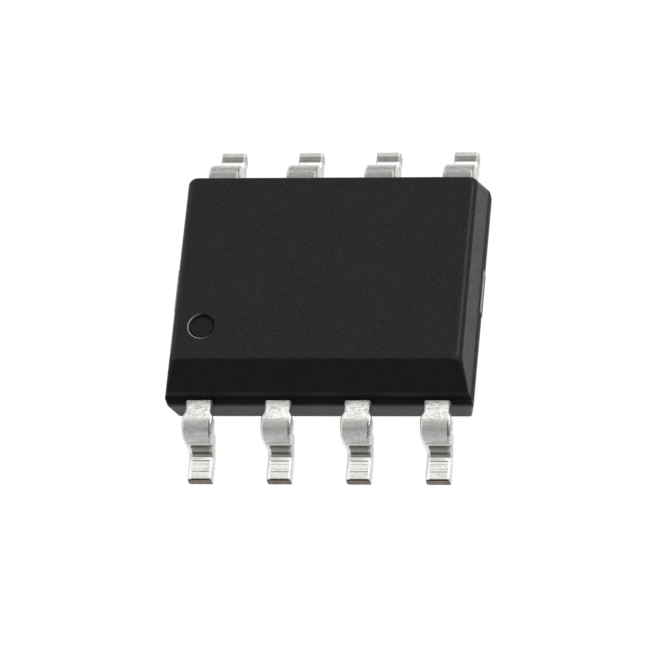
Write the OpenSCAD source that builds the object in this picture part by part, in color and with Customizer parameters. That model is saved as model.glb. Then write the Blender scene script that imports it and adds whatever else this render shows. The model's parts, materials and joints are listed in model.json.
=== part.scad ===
// Eight-lead small-outline package, with its leadframe, die and bond wires.
// Origin: middle of the seating plane. +X runs along the lead rows, +Y across
// them and +Z up. Leads 1 to 4 are the -Y row from left to right, and leads
// 5 to 8 are the +Y row from right to left. All sizes are in millimetres.

/* [Moulded body] */
// Length along the lead rows, at the parting land
body_l = 4.91; // [4.80:0.01:5.00]
// Width across the rows, at the parting land
body_w = 3.80; // [3.70:0.05:4.00]
// Height of the top face above the seating plane
body_top = 1.45; // [1.40:0.01:1.75]
// Gap between the seating plane and the underside of the body
standoff = 0.10; // [0.05:0.01:0.25]
// Upright band round the parting line, where the mould halves met
land_h = 0.22; // [0.21:0.01:0.30]
// Draft of the walls that the leads leave, in degrees
side_draft = 8.5; // [5:0.5:12]
// Draft of the two end walls, in degrees
end_draft = 12; // [7:0.5:15]
// Height of the slope cut along the top edge over leads 1 to 4
bevel_h = 0.45; // [0.30:0.01:0.50]
// Width of that slope, seen from above
bevel_w = 0.37; // [0.25:0.01:0.45]
// Radius of the top and bottom moulded edges
edge_r = 0.08; // [0.02:0.01:0.08]
// How far the four upright corners are eased, along the diagonal
corner_ease = 0.04; // [0.02:0.01:0.06]

/* [Marks moulded in the body] */
// Diameter of the round mark beside lead 1
dimple_d = 0.45; // [0.30:0.01:0.60]
// Depth of the round mark
dimple_depth = 0.04; // [0.02:0.01:0.10]
// From the end of the body to the middle of the mark
dimple_from_end = 0.61; // [0.50:0.01:0.80]
// From the side of the body to the middle of the mark
dimple_from_side = 0.98; // [0.90:0.01:1.20]
// Diameter of the ejector pin's mark on the underside
eject_d = 1.00; // [0.60:0.05:1.40]
// Depth of the ejector pin's mark
eject_depth = 0.03; // [0.01:0.01:0.05]

/* [Leads] */
// Distance between neighbouring leads
pitch = 1.27; // [1.20:0.01:1.30]
// Toe to toe across both rows
span = 5.96; // [5.85:0.01:6.20]
// Thickness of the leadframe strip
frame_t = 0.20; // [0.15:0.01:0.20]
// Height of the strip's underside where it leaves the body
frame_z = 0.60; // [0.55:0.01:0.65]
// Flat shoulder outside the body, up to the first bend
shoulder = 0.34; // [0.32:0.01:0.38]
// Inner radius of the upper bend
top_bend_r = 0.07; // [0.05:0.01:0.10]
// Inner radius of the lower bend, above the foot
foot_bend_r = 0.20; // [0.12:0.01:0.22]
// Width of the lead where it leaves the body
neck_w = 0.42; // [0.33:0.01:0.42]
// Width over the trimmed stubs of the dam bar
stub_w = 0.50; // [0.48:0.01:0.52]
// From the body to where the stubs begin
stub_from_body = 0.19; // [0.12:0.01:0.21]
// Length of the slope from the neck out to the stubs
stub_ramp = 0.11; // [0.04:0.01:0.11]
// Width at the end of the first bend
bend_w = 0.47; // [0.45:0.01:0.48]
// Width halfway round the lower bend
knee_w = 0.44; // [0.41:0.01:0.45]
// Width of the foot
foot_w = 0.40; // [0.33:0.01:0.41]

/* [Leadframe inside the body] */
// Length of the die pad
pad_l = 3.00; // [2.60:0.05:3.10]
// Width of the die pad
pad_w = 1.90; // [1.60:0.05:1.95]
// How far the die pad is pressed below the leads
downset = 0.18; // [0.15:0.01:0.20]
// Width of the tie bars at both ends of the pad
tie_w = 0.75; // [0.50:0.05:0.80]
// How far the tie bars sit off the middle, towards leads 5 to 8
tie_y = 0.08; // [0:0.01:0.10]
// What the trimming punch leaves of a tie bar outside the body
tie_stub = 0.01; // [0.01:0.01:0.03]
// Flat end of a tie bar, from the end of the body to its bend
tie_flat = 0.45; // [0.35:0.05:0.50]
// Gap between the lead fingers and the side of the pad
finger_gap = 0.20; // [0.18:0.01:0.25]
// Length of the wide bonding head of each finger
head_l = 0.50; // [0.45:0.01:0.55]
// Width of the bonding head
head_w = 0.66; // [0.50:0.02:0.70]
// Length of the corner leads' tab beside the end of the pad
tab_l = 0.50; // [0.40:0.05:0.50]
// Width of that tab
tab_w = 0.42; // [0.36:0.02:0.44]
// Diameter of the locking hole through each head
lock_d = 0.22; // [0.16:0.01:0.24]

/* [Die and bonds] */
// Length of the die
die_l = 1.60; // [1.00:0.05:1.80]
// Width of the die
die_w = 1.20; // [0.80:0.05:1.30]
// Thickness of the die
die_t = 0.25; // [0.20:0.01:0.28]
// Thickness of the die attach
attach_t = 0.03; // [0.02:0.01:0.04]
// How far the die attach squeezes out round the die
attach_out = 0.06; // [0.02:0.01:0.10]
// Bond wire diameter
wire_d = 0.05; // [0.04:0.01:0.06]
// Diameter of the ball that starts each wire
ball_d = 0.10; // [0.08:0.01:0.12]
// Height of that ball
ball_h = 0.025; // [0.02:0.005:0.03]
// Rise of the wire loop over the die
loop_h = 0.20; // [0.15:0.01:0.25]
// From the edge of the die to the middle of its bond pads
bond_inset = 0.14; // [0.10:0.01:0.20]

/* [Hidden] */

rows = 4;                                       // leads in a row
frame_top = frame_z + frame_t;
land_z = frame_z + frame_t/2 - land_h/2;        // the land is centred on the strip
land_top = land_z + land_h;
arc_steps = 6;                                  // flats in a rounded moulded edge

// Places along a lead, measured from the middle of the package
bend_y = body_w/2 + shoulder;                   // start of the upper bend
leg_y = bend_y + top_bend_r;                    // back of the leg
foot_y = leg_y + frame_t + foot_bend_r;         // end of the lower bend
toe_y = span/2;
stub_y = body_w/2 + stub_from_body;
head_y = pad_w/2 + finger_gap;                  // inner end of the fingers
leg_top = frame_z - top_bend_r;                 // upper end of the leg
knee_z = frame_t + foot_bend_r;                 // lower end of the leg

// Heights of the stack on the die pad
pad_top = frame_top - downset;
die_z = pad_top + attach_t;
die_top = die_z + die_t;

wire_sides = 8;
wire_steps = 12;                                // rings along the loop

steel = "#c9c8c4";
copper = "#b9794e";

// ---------- helpers ----------

// Middle of lead i of the front row, along X
function lead_x(i) = (i - (rows + 1)/2)*pitch;

// Points of the rounded corner at b, between its neighbours a and c
function corner(a, b, c, r) =
    let (u = (a - b)/norm(a - b),
         v = (c - b)/norm(c - b),
         half = acos(u*v)/2,
         middle = b + (u + v)/norm(u + v)*r/sin(half),
         p = b + u*r/tan(half) - middle,
         q = b + v*r/tan(half) - middle)
    [for (k = [0:arc_steps])
        let (t = k/arc_steps, d = p*(1 - t) + q*t)
        middle + d/norm(d)*r];

// Outline with each corner rounded by its own radius, and kept sharp at 0
function rounded(points, radii) =
    let (n = len(points))
    [for (i = [0:n - 1])
        each radii[i] == 0
            ? [points[i]]
            : corner(points[(i + n - 1)%n], points[i], points[(i + 1)%n], radii[i])];

// ---------- moulded body ----------

// Section across the body. half is half its width, lean is how far the walls come
// in for each unit of height, and a slope may be cut along the first top edge
module wall_section(half, lean, sloped) {
    low = half - (land_z - standoff)*lean;
    high = half - (body_top - land_top)*lean;
    cut = half - (body_top - bevel_h - land_top)*lean;
    base = [[-low, standoff], [low, standoff], [half, land_z], [half, land_top],
            [high, body_top]];
    base_r = [edge_r, edge_r, 0, 0, edge_r];
    slope = sloped
        ? [[-cut + bevel_w, body_top], [-cut, body_top - bevel_h]]
        : [[-high, body_top]];
    slope_r = sloped ? [edge_r, edge_r] : [edge_r];
    end = [[-half, land_top], [-half, land_z]];
    polygon(rounded(concat(base, slope, end), concat(base_r, slope_r, [0, 0])));
}

// The moulding before anything is taken out of it: drafted bars that cross, two
// square to the body and two along its diagonals, which ease the upright corners
module mould_block() {
    side_lean = tan(side_draft);
    end_lean = tan(end_draft);
    corner_lean = (side_lean + end_lean)/sqrt(2);
    diagonal = (body_l + body_w)/2/sqrt(2) - corner_ease;
    intersection() {
        rotate([90, 0, 90])
            linear_extrude(body_l, center = true) wall_section(body_w/2, side_lean, true);
        rotate([90, 0, 0])
            linear_extrude(body_w, center = true) wall_section(body_l/2, end_lean, false);
        intersection_for (turn = [45, -45])
            rotate([0, 0, turn])
                rotate([90, 0, 0])
                    linear_extrude(2*body_l, center = true)
                        wall_section(diagonal, corner_lean, false);
    }
}

module pin1_dimple() {
    translate([dimple_from_end - body_l/2, dimple_from_side - body_w/2,
               body_top - dimple_depth])
        cylinder(h = 2*dimple_depth, d = dimple_d, $fn = 48);
}

module ejector_mark() {
    translate([0, 0, standoff - eject_depth])
        cylinder(h = 2*eject_depth, d = eject_d, $fn = 64);
}

// The compound fills every space round the pieces that it holds
module body() {
    color("#2b2b2d")
    difference() {
        mould_block();
        pin1_dimple();
        ejector_mark();
        for (i = [1:2*rows]) {
            lead_shape(i);
            wire_shape(i);
        }
        pad_shape();
        attach_shape();
        die_shape();
    }
}

// ---------- leads ----------

// Quarter bend of the strip about the X axis, from angle start, with inner radius r
module bend(w, start, r) {
    rotate([0, 90, 0])
        rotate([0, 0, start])
            translate([0, 0, -w/2])
                rotate_extrude(angle = 90, $fn = 64)
                    translate([r, 0]) square([frame_t, w]);
}

// Side view of the lead, as wide as w: finger, shoulder, leg and foot
module formed_strip(w) {
    y_in = head_y - tab_l;
    translate([-w/2, -bend_y, frame_z]) cube([w, bend_y - y_in, frame_t]);
    translate([0, -bend_y, leg_top]) bend(w, 180, top_bend_r);
    translate([-w/2, -leg_y - frame_t, knee_z]) cube([w, frame_t, leg_top - knee_z]);
    translate([0, -foot_y, knee_z]) bend(w, 0, foot_bend_r);
    translate([-w/2, -toe_y, 0]) cube([w, toe_y - foot_y, frame_t]);
}

// Plan of the blank. side is -1 or 1 for a corner lead and 0 for a middle one
module blank_plan(side) {
    ramp = stub_y + stub_ramp;
    difference() {
        union() {
            translate([-neck_w/2, -stub_y]) square([neck_w, stub_y - head_y]);
            translate([-head_w/2, -head_y - head_l]) square([head_w, head_l]);
            polygon([[-neck_w/2, -stub_y], [-stub_w/2, -ramp], [-stub_w/2, -bend_y],
                     [-bend_w/2, -foot_y], [-bend_w/2, -toe_y],
                     [bend_w/2, -toe_y], [bend_w/2, -foot_y],
                     [stub_w/2, -bend_y], [stub_w/2, -ramp], [neck_w/2, -stub_y]]);
            if (side != 0)
                translate([side*(head_w - tab_w)/2 - tab_w/2, -head_y])
                    square([tab_w, tab_l]);
        }
        translate([0, -head_y - head_l/2 - lock_d/4]) circle(d = lock_d, $fn = 32);
    }
}

// Front view of the leg, which narrows to the foot round the lower bend
module leg_front() {
    top = frame_top + frame_t;
    knee = frame_t + foot_bend_r/2;
    flare = leg_top + top_bend_r/2;
    polygon([[-foot_w/2, 0], [foot_w/2, 0], [foot_w/2, frame_t], [knee_w/2, knee],
             [bend_w/2, knee_z], [bend_w/2, leg_top], [head_w, flare], [head_w, top],
             [-head_w, top], [-head_w, flare], [-bend_w/2, leg_top],
             [-bend_w/2, knee_z], [-knee_w/2, knee], [-foot_w/2, frame_t]]);
}

// Lead i, numbered anticlockwise from the corner with the dimple
module lead_shape(i) {
    row = i > rows ? 1 : 0;
    k = i - row*rows;
    side = k == 1 ? -1 : k == rows ? 1 : 0;
    rotate([0, 0, 180*row])
        translate([lead_x(k), 0, 0])
            intersection() {
                formed_strip(2*head_w);
                linear_extrude(2*frame_top) blank_plan(side);
                rotate([90, 0, 0]) linear_extrude(span) leg_front();
            }
}

module lead(i) {
    color(steel) lead_shape(i);
}

// ---------- die pad ----------

// One tie bar from the end of the body down to the pad and along to its middle
module tie_bar() {
    x_end = body_l/2 + tie_stub;
    x_bend = body_l/2 - tie_flat;
    x_low = x_bend - downset;
    translate([0, tie_y, 0])
        rotate([90, 0, 0])
            linear_extrude(tie_w, center = true)
                polygon([[x_end, frame_z], [x_end, frame_top], [x_bend, frame_top],
                         [x_low, pad_top], [0, pad_top], [0, pad_top - frame_t],
                         [x_low, pad_top - frame_t], [x_bend, frame_z]]);
}

module pad_shape() {
    translate([-pad_l/2, -pad_w/2, pad_top - frame_t]) cube([pad_l, pad_w, frame_t]);
    tie_bar();
    mirror([1, 0, 0]) tie_bar();
}

module die_pad() {
    color(copper) pad_shape();
}

// ---------- die ----------

module attach_shape() {
    l = die_l + 2*attach_out;
    w = die_w + 2*attach_out;
    translate([-l/2, -w/2, pad_top]) cube([l, w, attach_t]);
}

module die_attach() {
    color("#b8b8b0") attach_shape();
}

module die_shape() {
    translate([-die_l/2, -die_w/2, die_z]) cube([die_l, die_w, die_t]);
}

module die() {
    color("#52607a") die_shape();
}

// ---------- bond wires ----------

// Where wire k of the front row starts on the die and lands on its finger
function bond_start(k) =
    [lead_x(k)/lead_x(rows)*(die_l/2 - bond_inset), bond_inset - die_w/2, die_top];
function bond_land(k) =
    let (side = k == 1 ? -1 : k == rows ? 1 : 0,
         tab_x = lead_x(k) + side*(head_w - tab_w)/2)
    side == 0
        ? [lead_x(k), -head_y - wire_d*1.5, frame_top]
        : [tab_x, -head_y + tab_l/2, frame_top];

// Ring of points round centre, square to the heading at angle tip above level
function ring(centre, ahead, tip, r) =
    let (side = [-ahead.y, ahead.x, 0],
         up = [-ahead.x*sin(tip), -ahead.y*sin(tip), cos(tip)])
    [for (j = [0:wire_sides - 1])
        let (a = 360*j/wire_sides)
        centre + r*cos(a)*side + r*sin(a)*up];

// Rings of a wire: the ball, then half an ellipse from the die to the finger
function wire_rings(from, to) =
    let (run = [to.x - from.x, to.y - from.y, 0],
         ahead = run/norm(run),
         base = from + [0, 0, ball_h],
         drop = to.z - base.z)
    concat(
        [ring(from, ahead, 90, ball_d/2), ring(base, ahead, 90, ball_d/2)],
        [for (s = [0:wire_steps])
            let (a = 180*s/wire_steps,
                 f = (1 - cos(a))/2,
                 dx = norm(run)*sin(a)/2,
                 dz = loop_h*cos(a) + drop*sin(a)/2)
            ring(base + run*f + [0, 0, loop_h*sin(a) + drop*f], ahead,
                 atan2(dz, dx), wire_d/2)]);

// Closed skin over a list of rings
module skin(rings) {
    n = wire_sides;
    last = len(rings) - 1;
    points = [for (r = rings) each r];
    walls = [for (s = [0:last - 1], j = [0:n - 1])
        let (a = s*n + j, b = s*n + (j + 1)%n)
        each [[a, a + n, b], [b, a + n, b + n]]];
    ends = [[for (j = [0:n - 1]) j], [for (j = [n - 1:-1:0]) last*n + j]];
    polyhedron(points, concat(walls, ends));
}

module wire_shape(i) {
    row = i > rows ? 1 : 0;
    k = i - row*rows;
    rotate([0, 0, 180*row])
        skin(wire_rings(bond_start(k), bond_land(k)));
}

module bond_wire(i) {
    color("gold") wire_shape(i);
}

// ---------- the part ----------

body();
die_pad();
die_attach();
die();
for (i = [1:2*rows]) {
    lead(i);
    bond_wire(i);
}
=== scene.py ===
# %% [markdown]
# # An eight-lead small-outline package
#
# The real object is a block of black moulding compound, not quite five millimetres long, with
# eight tinned leads pressed into gull wings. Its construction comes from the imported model, which
# is loaded first and never moved. Everything below gives it its looks, in metres, in that frame.

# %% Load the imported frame
import json
import math

import bpy
import numpy as np
from mathutils import Matrix, Vector

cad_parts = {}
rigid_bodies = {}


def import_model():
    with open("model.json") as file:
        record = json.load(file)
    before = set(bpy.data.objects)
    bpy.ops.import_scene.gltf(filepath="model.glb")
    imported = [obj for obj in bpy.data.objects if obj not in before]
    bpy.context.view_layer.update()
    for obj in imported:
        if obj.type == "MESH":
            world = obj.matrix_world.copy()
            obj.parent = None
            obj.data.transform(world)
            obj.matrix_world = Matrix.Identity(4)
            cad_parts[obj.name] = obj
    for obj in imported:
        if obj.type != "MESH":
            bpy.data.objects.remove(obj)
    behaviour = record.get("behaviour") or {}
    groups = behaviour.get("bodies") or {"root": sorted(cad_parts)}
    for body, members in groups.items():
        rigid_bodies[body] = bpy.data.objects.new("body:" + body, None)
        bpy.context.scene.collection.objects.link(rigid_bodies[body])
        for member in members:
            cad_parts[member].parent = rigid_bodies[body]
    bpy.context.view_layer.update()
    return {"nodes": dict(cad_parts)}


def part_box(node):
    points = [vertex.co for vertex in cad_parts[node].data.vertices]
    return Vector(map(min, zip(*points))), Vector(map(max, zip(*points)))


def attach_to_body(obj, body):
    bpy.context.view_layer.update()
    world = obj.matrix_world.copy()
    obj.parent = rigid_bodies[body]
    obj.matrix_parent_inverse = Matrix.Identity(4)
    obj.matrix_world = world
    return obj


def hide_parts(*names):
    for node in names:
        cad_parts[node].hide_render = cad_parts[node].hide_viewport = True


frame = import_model()
MM = 0.001  # one millimetre, in metres
SEED = 8
random = np.random.default_rng(SEED)

# %% [markdown]
# ## Sizes that the surfaces need
#
# The outer sizes are read from the nodes' boxes. What a box can't tell, such as a draft angle or
# the radius of a bend, is named here in millimetres, as a drawing of the package gives it.

# %% Read the outer sizes from the frame
def box_mm(name):
    """Lowest and highest corner of a node, in millimetres."""
    return [np.array(corner)/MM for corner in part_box(name)]


body_low, body_high = box_mm("body")
lead_low, lead_high = box_mm("lead_1")
half_length, half_width = body_high[0], body_high[1]
body_base, body_top = body_low[2], body_high[2]
toe_reach = -lead_low[1]
lead_top = lead_high[2]
STRIP = 0.20  # thickness of the leadframe strip, as rolled
print("body", half_length*2, "by", half_width*2, "from", body_base, "to", body_top)
print("toe", toe_reach, "from the middle, and a shoulder's top", lead_top, "above the board")

# %% Sizes of the moulding, in millimetres
SIDE_DRAFT = math.radians(8.5)  # lean of the walls that the leads leave
END_DRAFT = math.radians(12)    # lean of the two end walls
LAND_HEIGHT = 0.22              # upright band at the parting line
LAND_TOP = lead_top - STRIP/2 + LAND_HEIGHT/2
BEVEL = (0.37, 0.45)            # slope over leads 1 to 4, in width and in height
EDGE_RADIUS = 0.08              # top and bottom edges
END_RADIUS = 0.12               # easier edge along the top at both ends
LAND_RADIUS = 0.010             # where the walls turn into the land
CORNER_RADII = (0.035, 0.13)    # upright corners: tight up to the land, and easier at the top
MISMATCH = 0.018                # how far the upper mould half sat off, at the top face
MARK_CENTRE = np.array([0.61 - half_length, 0.98 - half_width])  # round mark beside lead 1
MARK_RADIUS = 0.207             # of its wall, inside its rounded lip
MARK_LIP, MARK_LEAN = 0.018, 0.030  # radius of that lip, and how far its wall leans in
MARK_DEPTH = 0.04
EJECTOR_RADIUS, EJECTOR_LIP, EJECTOR_DEPTH = 0.50, 0.008, 0.03  # ejector pin's mark, below
print("land from", round(LAND_TOP - LAND_HEIGHT, 3), "to", round(LAND_TOP, 3), "above the board")

# %% [markdown]
# ## Helpers for shapes
#
# Both shapes on this part are the same kind of surface: a list of closed rings, each with as many
# points as the next, joined by four-sided faces. A ring is a rounded rectangle, so one function
# lays out its points, and another turns any stack of rings into a closed mesh.

# %% Points round a rounded rectangle
def direction(angle):
    """Unit vectors at those angles, anticlockwise from the right."""
    return np.stack([np.cos(angle), np.sin(angle)], axis=-1)


def round_walk(flat_counts, arc_counts):
    """Columns of a rounded rectangle, anticlockwise from the right-hand side.

    A rounded rectangle is a small circle carried round a smaller rectangle. Each column has the
    place of the circle's centre as shares of the half sizes, from -1 to 1, and the direction from
    that centre to the outline. Returns two arrays of shape (columns, 2): places and directions.
    """
    places, ways = [], []
    for side in range(4):
        start = side*math.pi/2
        before, corner = direction(start + np.array([-math.pi/4, math.pi/4]))*math.sqrt(2)
        share = flat_counts[side][1:-1, None]
        places.append(before*(1 - share) + corner*share)
        ways.append(np.broadcast_to(direction(start), (len(share), 2)))
        angle = start + np.linspace(0, math.pi/2, arc_counts[side])
        places.append(np.broadcast_to(corner, (len(angle), 2)))
        ways.append(direction(angle))
    return np.concatenate(places), np.concatenate(ways)


def hem(count, margin):
    """Shares from 0 to 1, evenly spaced, with one extra close to each end to keep flats flat."""
    return np.unique(np.concatenate([np.linspace(0, 1, count), [margin, 1 - margin]]))


print("shares along a short flat:", hem(3, 0.1).tolist())

# %% Turn a stack of rings into a closed mesh
def shown(name, data):
    """A new object that shows a mesh, a lamp or a camera in the scene."""
    made = bpy.data.objects.new(name, data)
    bpy.context.scene.collection.objects.link(made)
    return made


def closed_skin(name, rings, start, end, values):
    """A closed mesh over rings, an array of shape (rings, columns, 3) in millimetres.

    Neighbouring rings are joined by quads, and the first and last rings by a fan of triangles to
    the points start and end. values holds one number per vertex for each named attribute. The
    volume is a sixth of the sum of the corners' triple products, and tells which way out is.
    """
    count, columns = rings.shape[:2]
    points = np.concatenate([rings.reshape(-1, 3), [start], [end]])*MM
    column = np.arange(columns)
    following = (column + 1) % columns
    base = np.arange(count - 1)[:, None]*columns
    quads = np.stack([base + column, base + following, base + columns + following,
                      base + columns + column], axis=-1).reshape(-1, 4)
    last = (count - 1)*columns
    first_fan = np.stack([following, column, np.full(columns, count*columns)], axis=-1)
    last_fan = np.stack([last + column, last + following,
                         np.full(columns, count*columns + 1)], axis=-1)
    triangles = np.concatenate([quads[:, [0, 1, 2]], quads[:, [0, 2, 3]], first_fan, last_fan])
    corners = points[triangles]
    volume = np.einsum("ij,ij->", corners[:, 0], np.cross(corners[:, 1], corners[:, 2]))/6/MM**3
    faces = [quads, first_fan, last_fan]
    if volume < 0:
        faces = [face[:, ::-1] for face in faces]
    mesh = bpy.data.meshes.new(name)
    mesh.from_pydata(points.tolist(), [], [f for face in faces for f in face.tolist()])
    mesh.polygons.foreach_set("use_smooth", np.ones(len(mesh.polygons), bool))
    for label, numbers in values.items():
        spread = np.broadcast_to(numbers, (count, columns)).ravel()
        ends = [spread[:columns].mean(), spread[-columns:].mean()]
        layer = mesh.attributes.new(label, "FLOAT", "POINT")
        layer.data.foreach_set("value", np.concatenate([spread, ends]).astype(np.float32))
    mesh.validate()
    print(name, "triangles", len(triangles), "volume in mm3", round(abs(volume), 4))
    return shown(name, mesh)


def smooth(value, start, end):
    """0 before start, 1 after end, and an S-shaped ease between them."""
    share = np.clip((value - start)/(end - start), 0, 1)
    return share*share*(3 - 2*share)


def stations(marks, counts):
    """Places from the first mark to the last, evenly spaced between one mark and the next."""
    runs = [np.linspace(a, b, n, endpoint=False) for a, b, n in zip(marks, marks[1:], counts)]
    return np.concatenate(runs + [marks[-1:]])


print("half-way through an ease:", smooth(0.5, 0, 1))

# %% [markdown]
# ## Helpers for materials
#
# A finish is a tree of shader nodes. One function adds a node with its settings and its links, and
# hands back the output that the next node reads. Another turns the hex colour of a paint card into
# the linear numbers that light needs. Colours then go on in coats, each held back by masks, as a
# painter does.

# %% Colours and nodes
def linear(colour):
    """The sRGB hex colour as linear red, green and blue, with full cover.

    A share of 255 is divided by 12.92 near black, and follows a power of 2.4 above it.
    """
    shares = [int(colour[i:i + 2], 16)/255 for i in (1, 3, 5)]
    return tuple(s/12.92 if s <= 0.04045 else ((s + 0.055)/1.055)**2.4 for s in shares) + (1.0,)


def add(tree, kind, feeds=(), out=None, stops=None, **settings):
    """Adds a shader node and returns its first output, or the one that out names.

    feeds go to its inputs, in the order in which the node shows them or by name. Each is a number,
    a hex colour or another node's output. stops are a colour ramp's places and colours, and
    settings are the node's own properties.
    """
    made = tree.nodes.new("ShaderNode" + kind)
    for name, value in settings.items():
        setattr(made, name, value)
    if isinstance(feeds, dict):
        pairs = [(made.inputs[label], value) for label, value in feeds.items()]
    else:
        pairs = zip([socket for socket in made.inputs if socket.enabled], feeds)
    for socket, value in pairs:
        if isinstance(value, bpy.types.NodeSocket):
            tree.links.new(value, socket)
        else:
            socket.default_value = linear(value) if isinstance(value, str) else value
    if stops:
        ramp = made.color_ramp
        while len(ramp.elements) < len(stops):
            ramp.elements.new(1.0)
        for element, (place, colour) in zip(ramp.elements, stops):
            element.position = place
            element.color = linear(colour)
    if out:
        return made.outputs[out]
    return next((socket for socket in made.outputs if socket.enabled), None)


print("half-way grey #808080 is", round(linear("#808080")[0], 3), "in linear light")

# %% Start, coats and end of a finish
def new_material(name, *labels):
    """A node material, its tree, the place on the object, and the mesh's attributes of that name."""
    made = bpy.data.materials.new(name)
    made.use_nodes = True
    tree = made.node_tree
    tree.nodes.clear()
    shares = [add(tree, "Attribute", out="Fac", attribute_name=label) for label in labels]
    return made, tree, add(tree, "TexCoord", out="Object"), *shares


def finished(made, sockets, height, strength, depth):
    """The material, closed by a shader with those sockets over a relief depth millimetres deep."""
    tree = made.node_tree
    relief = add(tree, "Bump", {"Height": height, "Strength": strength, "Distance": depth*MM})
    shader = add(tree, "BsdfPrincipled", {**sockets, "Normal": relief})
    add(tree, "OutputMaterial", (shader,))
    return made


def per_mm(size):
    """Texture scale at which one cell of a noise measures size millimetres."""
    return 1/(size*MM)


def coats(tree, tone, layers):
    """The tone under coats of colour. Each has masks, which are multiplied, its cover and colour."""
    for masks, cover, colour in layers:
        share = cover
        for mask in masks:
            share = add(tree, "Math", (mask, share), operation="MULTIPLY")
        tone = add(tree, "Mix", (share, tone, colour), data_type="RGBA")
    return tone


EASED = {"interpolation_type": "SMOOTHSTEP"}  # a range that sets in and ends gently
print("a cell of 0.1 mm needs a texture scale of", per_mm(0.1))

# %% [markdown]
# ## The moulded body
#
# The body is transfer-moulded epoxy. Two mould halves meet at an upright land, and their walls
# lean by a draft so that the block lets go. The top has a long slope over leads 1 to 4 and a
# shallow round mark beside lead 1, and the underside keeps the round mark of an ejector pin. The
# upper mould half sat a hair off sideways, so the upper body does too. It could be a box with
# bevels, but the slope and the marks would then need cuts. A stack of level rings follows the
# form directly: each is a rounded rectangle, and its four walls are read off profiles at that
# height. The rings then close over the top, down into the mark.

# %% Profile of a moulded wall
def arc_corner(before, at, after, radius, steps):
    """Points of the arc of that radius that is tangent to both legs of a corner.

    Its centre lies on the line that halves the corner, and its points are evenly spread chords
    pushed out to the radius.
    """
    first = (before - at)/np.linalg.norm(before - at)
    second = (after - at)/np.linalg.norm(after - at)
    half = math.acos(np.clip(first @ second, -1, 1))/2
    centre = at + (first + second)/np.linalg.norm(first + second)*radius/math.sin(half)
    start = at + first*radius/math.tan(half) - centre
    finish = at + second*radius/math.tan(half) - centre
    share = np.linspace(0, 1, steps)[:, None]
    chord = start*(1 - share) + finish*share
    return centre + chord/np.linalg.norm(chord, axis=1)[:, None]*radius


def wall_profile(half, draft, bevel=None, top_radius=EDGE_RADIUS):
    """Reach of a wall from the middle of the package, against height, bottom to top.

    The lower wall leans out to the land, the land is upright, and the upper wall leans in again.
    A bevel, given by its width and height, takes the last part. Each corner is an arc.
    """
    lean = math.tan(draft)
    land_base = LAND_TOP - LAND_HEIGHT
    corners = [(0, body_base), (half - (land_base - body_base)*lean, body_base),
               (half, land_base), (half, LAND_TOP)]
    radii = [EDGE_RADIUS, LAND_RADIUS, LAND_RADIUS]
    if bevel:
        cut = half - (body_top - bevel[1] - LAND_TOP)*lean
        corners += [(cut, body_top - bevel[1]), (cut - bevel[0], body_top)]
        radii += [EDGE_RADIUS, EDGE_RADIUS]
    else:
        corners += [(half - (body_top - LAND_TOP)*lean, body_top)]
        radii += [top_radius]
    corners = np.array(corners + [(0, body_top)])
    arcs = [arc_corner(corners[i], corners[i + 1], corners[i + 2], radius, 11)
            for i, radius in enumerate(radii)]
    supports = [np.linspace(a[-1], b[0], 9)[[1, 4, 7]] for a, b in zip(arcs, arcs[1:])]
    order = [part for pair in zip(arcs, supports + [arcs[-1][-1:]]) for part in pair]
    return np.concatenate(order)


side_profile = wall_profile(half_length, END_DRAFT, top_radius=END_RADIUS)
rear_profile = wall_profile(half_width, SIDE_DRAFT)
front_profile = wall_profile(half_width, SIDE_DRAFT, BEVEL)
print("slope ends", round(front_profile[-1, 0], 3), "side ends", round(side_profile[-1, 0], 3))

# %% Rings of the walls
END_FLAT, LONG_FLAT = hem(73, 0.003), hem(97, 0.003)
body_places, body_ways = round_walk([END_FLAT, LONG_FLAT, END_FLAT, LONG_FLAT], [10]*4)


def body_ring(side, front, rear, height):
    """Level ring with its walls at those reaches, as arrays over the heights.

    The corner's radius grows evenly from the land's to the larger one at the top face.
    """
    side, front, rear, height = (np.asarray(v, float)[:, None] for v in (side, front, rear, height))
    half_depth = (front + rear)/2
    corner = np.interp(height, [lead_top, body_top], CORNER_RADII)
    x = body_places[:, 0]*(side - corner) + body_ways[:, 0]*corner
    y = body_places[:, 1]*(half_depth - corner) + body_ways[:, 1]*corner
    return np.stack([x, y + (rear - front)/2, np.broadcast_to(height, x.shape)], axis=-1)


heights = np.unique(np.round(np.concatenate([side_profile[:, 1], front_profile[:, 1]]), 5))
walls = body_ring(*(np.interp(heights, p[:, 1], p[:, 0])
                    for p in (side_profile, front_profile, rear_profile)), heights)
print("rings of the walls:", len(walls), "of", walls.shape[1], "points")

# %% Rings from an outline into a round mark
LIP_HIGHLIGHT_FROM = math.radians(205)  # side on which the round mark's lip gets a painted highlight, from the right


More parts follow.
